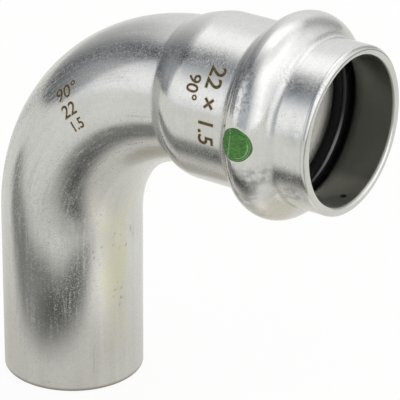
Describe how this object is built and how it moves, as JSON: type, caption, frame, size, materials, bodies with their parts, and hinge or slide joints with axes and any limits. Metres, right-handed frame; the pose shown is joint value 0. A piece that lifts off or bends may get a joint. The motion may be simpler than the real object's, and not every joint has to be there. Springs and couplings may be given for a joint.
{
  "type": "press fitting elbow",
  "caption": "Bent stainless-steel press fitting with a plain end and a beaded press socket that holds a sealing ring; turns a water pipe through a right angle.",
  "frame": {"origin": "centre of the plain end's end face", "axes": "+Z along the plain end towards the bend, +X along the socket's axis out of its mouth, bend in the XZ plane"},
  "size_m": [0.0621, 0.0311, 0.068],
  "materials": {
    "stainless_steel": "satin, pickled",
    "black_rubber": "smooth, lightly greased",
    "green_enamel": "semi-gloss"
  },
  "bodies": {
    "root": {"elbow_body": "stainless_steel", "sealing_ring": "black_rubber", "marking_dot": "green_enamel"}
  },
  "joints": []
}
